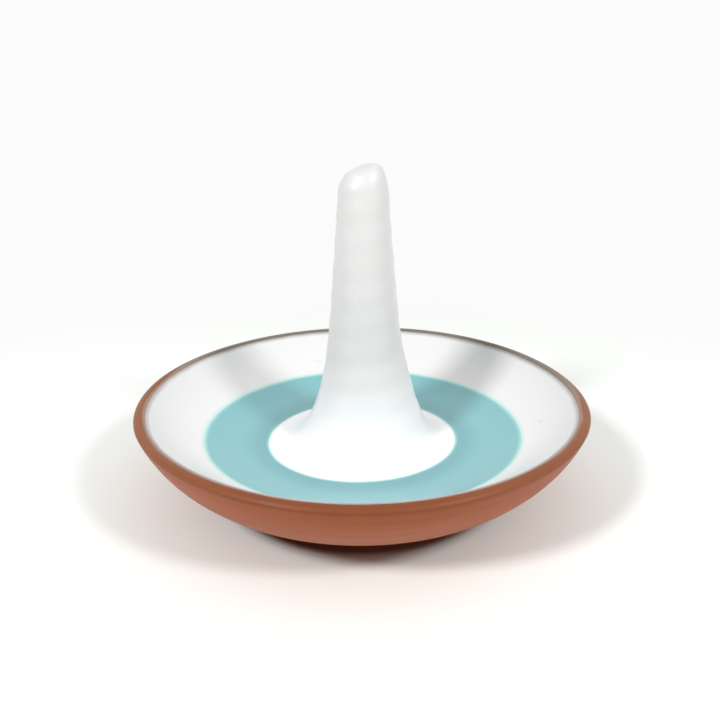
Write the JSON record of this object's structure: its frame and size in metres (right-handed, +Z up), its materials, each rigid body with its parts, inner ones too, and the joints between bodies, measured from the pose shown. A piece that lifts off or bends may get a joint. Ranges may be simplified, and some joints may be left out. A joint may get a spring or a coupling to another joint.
{
  "type": "ring dish",
  "caption": "Small round terracotta dish with a tall slim cone in the middle that finger rings slide over, glazed white inside with a turquoise band.",
  "frame": {"origin": "on the table, on the axis of the dish, in the plane of the foot ring", "axes": "+Z up along the dish's axis, +X to the right as pictured, towards which the cone stands slightly off the axis, and +Y away from the viewer"},
  "size_m": [0.11, 0.11, 0.0793],
  "materials": {
    "terracotta": "bare fired clay, smoothly turned and matte",
    "slip": "fired clay slip, matte",
    "white_glaze": "glossy opaque white glaze",
    "turquoise_glaze": "glossy opaque turquoise glaze, softly satin"
  },
  "bodies": {
    "root": {"dish_body": "terracotta", "ring_cone": "terracotta", "luting_slip": "slip", "wall_glaze": "white_glaze", "band_glaze": "turquoise_glaze", "centre_glaze": "white_glaze"}
  },
  "joints": []
}
